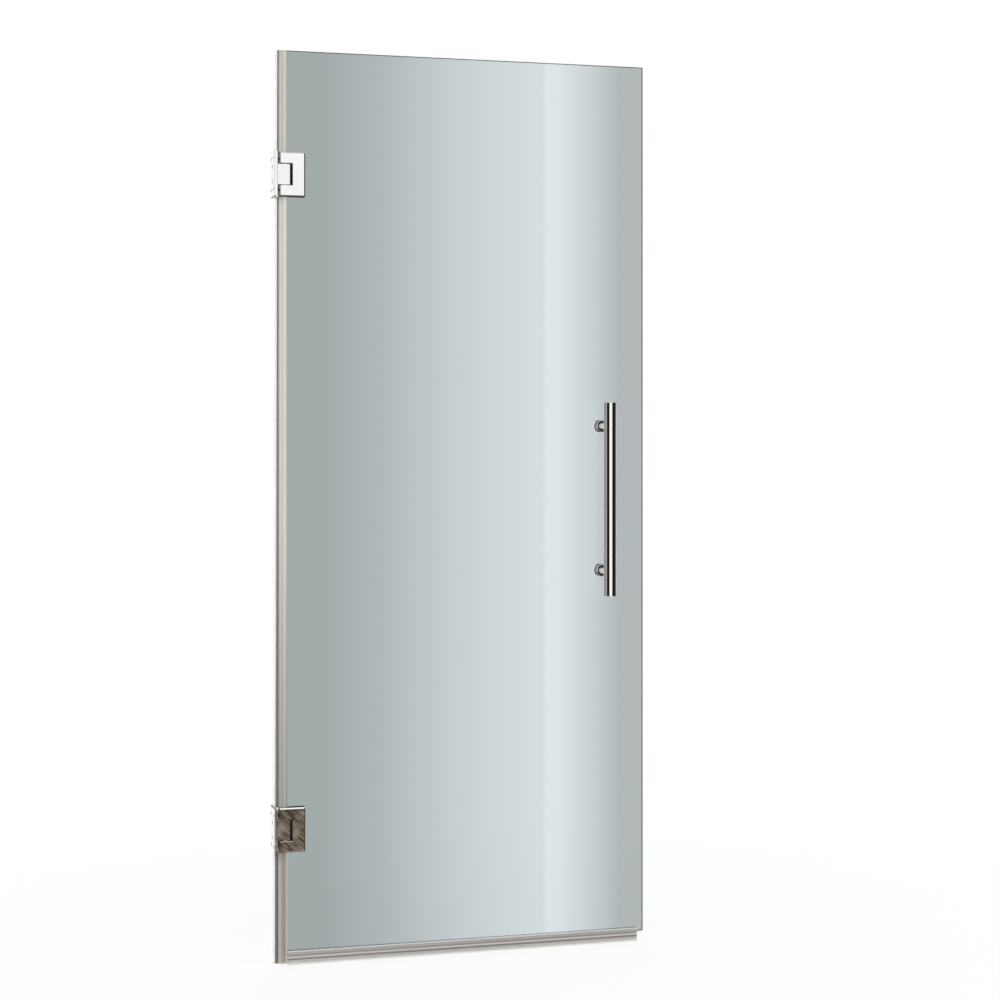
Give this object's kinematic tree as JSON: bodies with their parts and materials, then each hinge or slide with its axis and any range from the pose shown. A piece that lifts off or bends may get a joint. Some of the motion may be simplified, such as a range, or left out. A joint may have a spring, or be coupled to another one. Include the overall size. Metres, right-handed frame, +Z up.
{
  "type": "hinged shower door",
  "caption": "Frameless glass shower door hung on a side wall by square chrome hinges, with a round bar pull, a clear bulb seal along the hinge edge and a drip seal below.",
  "frame": {"origin": "centre of the lower wall plate's back face, on the finished wall", "axes": "+Z up along the door, +X from the hinge wall to the strike side, +Y from the outside to the inside of the shower"},
  "size_m": [0.777, 0.1115, 1.8284],
  "materials": {
    "door_glass": "clear tempered glass with a faint blue-grey tint and polished edges",
    "hinge_chrome": "polished chrome plate on brass",
    "handle_chrome": "polished chrome plate",
    "screw_steel": "stainless steel, machined",
    "inner_steel": "stainless steel, turned",
    "white_nylon": "moulded nylon",
    "gasket_rubber": "matte",
    "clear_vinyl": "clear soft vinyl, slightly grey",
    "clear_polycarbonate": "clear rigid polycarbonate"
  },
  "bodies": {
    "wall_side": {"lower_wall_plate": "hinge_chrome", "lower_knuckle_block": "hinge_chrome", "lower_block_screws": "screw_steel", "lower_pin_bushes": "white_nylon", "lower_detent_plunger": "inner_steel", "lower_disc_springs": "inner_steel", "lower_adjusting_screw": "inner_steel", "upper_wall_plate": "hinge_chrome", "upper_knuckle_block": "hinge_chrome", "upper_block_screws": "screw_steel", "upper_pin_bushes": "white_nylon", "upper_detent_plunger": "inner_steel", "upper_disc_springs": "inner_steel", "upper_adjusting_screw": "inner_steel"},
    "door": {"glass_panel": "door_glass", "lower_hinge_pin": "inner_steel", "lower_outer_clamp": "hinge_chrome", "lower_inner_clamp": "hinge_chrome", "lower_outer_gasket": "gasket_rubber", "lower_inner_gasket": "gasket_rubber", "lower_clamp_screws": "screw_steel", "upper_hinge_pin": "inner_steel", "upper_outer_clamp": "hinge_chrome", "upper_inner_clamp": "hinge_chrome", "upper_outer_gasket": "gasket_rubber", "upper_inner_gasket": "gasket_rubber", "upper_clamp_screws": "screw_steel", "hinge_seal_top": "clear_vinyl", "hinge_seal_middle": "clear_vinyl", "hinge_seal_bottom": "clear_vinyl", "bottom_seal": "clear_polycarbonate", "bottom_wiper": "clear_vinyl", "pull_bar": "handle_chrome", "lower_bar_cap": "handle_chrome", "upper_bar_cap": "handle_chrome", "lower_handle_post": "handle_chrome", "lower_rosette": "handle_chrome", "lower_outer_washer": "clear_vinyl", "lower_glass_sleeve": "clear_vinyl", "lower_inner_washer": "clear_vinyl", "lower_inner_cap": "handle_chrome", "lower_handle_stud": "inner_steel", "lower_grub_screw": "screw_steel", "upper_handle_post": "handle_chrome", "upper_rosette": "handle_chrome", "upper_outer_washer": "clear_vinyl", "upper_glass_sleeve": "clear_vinyl", "upper_inner_washer": "clear_vinyl", "upper_inner_cap": "handle_chrome", "upper_handle_stud": "inner_steel", "upper_grub_screw": "screw_steel"}
  },
  "joints": [
    {"name": "door_swing", "type": "hinge", "parent": "wall_side", "child": "door", "pos_m": [0.02394, 0, 0], "axis": [0, 0, -1], "range_deg": [0, 90]}
  ]
}
